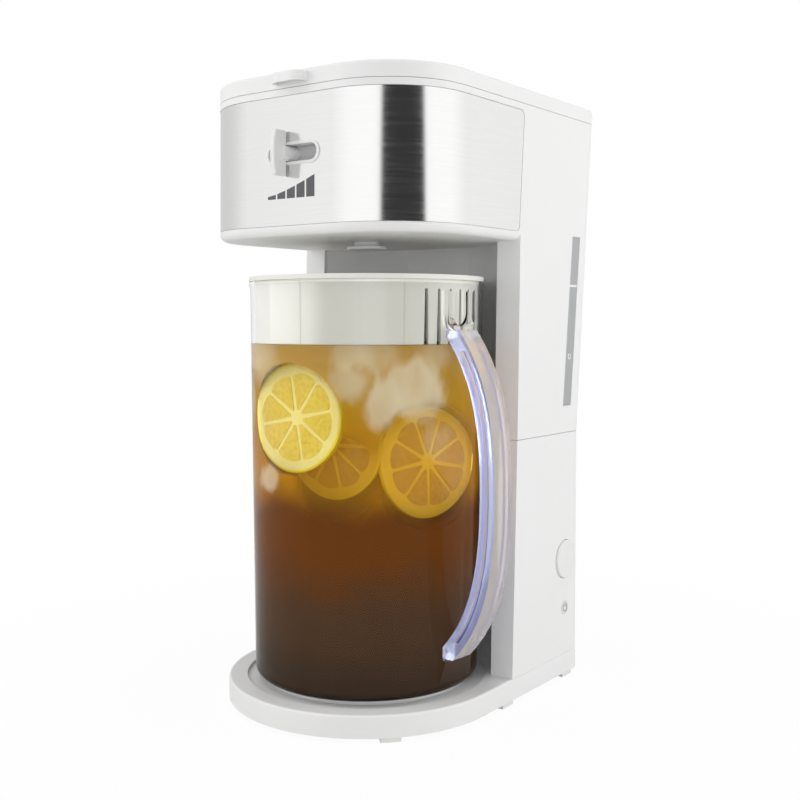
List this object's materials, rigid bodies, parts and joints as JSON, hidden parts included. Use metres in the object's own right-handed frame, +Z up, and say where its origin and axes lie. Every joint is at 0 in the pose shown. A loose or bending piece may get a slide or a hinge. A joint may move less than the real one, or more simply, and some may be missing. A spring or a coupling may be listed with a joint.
{
  "type": "cold brew coffee maker",
  "caption": "Countertop cold brew coffee and iced tea maker: a C-shaped white housing with a steel-banded head over a clear lidded pitcher.",
  "frame": {"origin": "centre of the whole object's footprint on the surface that it stands on", "axes": "+Z up, -Y towards the user (front), +X to the side with the switch, the water window and the pitcher's handle"},
  "size_m": [0.1952, 0.231, 0.3812],
  "materials": {
    "white_shell": "satin moulded",
    "white_trim": "semi-gloss moulded",
    "light_grey_plastic": "satin moulded",
    "grey_plastic": "satin moulded",
    "dark_plastic": "satin moulded",
    "cream_plastic": "semi-gloss moulded",
    "clear_plastic": "clear polished",
    "frosted_tank": "frosted translucent",
    "smoky_window": "smoky translucent",
    "lamp_lens": "frosted lens",
    "white_rubber": "matte",
    "silicone": "matte translucent",
    "nylon_mesh": "fine woven mesh",
    "brushed_band": "upright brushed grain",
    "screw_steel": "zinc plated",
    "plated_bracket": "plated sheet",
    "aluminium_pipe": "cast satin",
    "wire_insulation": "matte"
  },
  "bodies": {
    "housing": {"base": "white_shell", "base_cover": "white_shell", "base_screws": "screw_steel", "feet": "white_rubber", "lower_housing": "white_shell", "tower_screws": "screw_steel", "rear_panel": "white_shell", "rear_screws": "screw_steel", "cord_gland": "grey_plastic", "upper_housing": "white_shell", "housing_screws": "screw_steel", "steel_band": "brushed_band", "slot_bezel": "white_trim", "lid_hinge_pins": "screw_steel", "water_tank": "frosted_tank", "water_window": "smoky_window", "brew_basket": "white_shell", "filter_frame": "grey_plastic", "filter_mesh": "nylon_mesh", "water_spreader": "white_shell", "drip_outlet": "white_trim", "check_valve": "grey_plastic", "cold_hose": "silicone", "heater_tube": "aluminium_pipe", "heater_element": "aluminium_pipe", "heater_saddles": "plated_bracket", "thermostat": "grey_plastic", "thermal_fuse": "white_trim", "riser_tube": "silicone", "hot_spout": "grey_plastic", "hose_clamps": "screw_steel", "power_switch": "dark_plastic", "indicator_lens": "lamp_lens", "indicator_lamp": "lamp_lens", "terminal_block": "grey_plastic", "wiring": "wire_insulation"},
    "lid": {"top_lid": "white_shell"},
    "lever": {"strength_lever": "white_trim", "lever_shutter": "light_grey_plastic", "lever_clip": "screw_steel"},
    "button": {"power_button": "white_trim"},
    "jug": {"pitcher": "clear_plastic", "pitcher_handle": "clear_plastic"},
    "jug_lid": {"pitcher_lid": "cream_plastic"},
    "valve_ball": {"check_ball": "white_rubber"}
  },
  "joints": [
    {"name": "lid_hinge", "type": "hinge", "parent": "housing", "child": "lid", "pos_m": [-0.01024, 0.11065, 0.3763], "axis": [-1, 0, 0], "range_deg": [0, 100]},
    {"name": "strength_slide", "type": "slide", "parent": "housing", "child": "lever", "axis": [1, 0, 0], "range_m": [-0.0086, 0.0194]},
    {"name": "button_press", "type": "slide", "parent": "housing", "child": "button", "axis": [-1, 0, 0], "range_m": [0, 0.002], "stiffness_N_per_m": 500},
    {"name": "jug_slide", "type": "slide", "parent": "housing", "child": "jug", "axis": [0, -1, 0], "range_m": [0, 0.25]},
    {"name": "jug_lid_turn", "type": "hinge", "parent": "jug", "child": "jug_lid", "pos_m": [-0.01024, -0.02925, 0.26], "axis": [0, 0, 1], "continuous": true},
    {"name": "valve_ball_lift", "type": "slide", "parent": "housing", "child": "valve_ball", "axis": [0, 0, 1], "range_m": [0, 0.0048]}
  ]
}
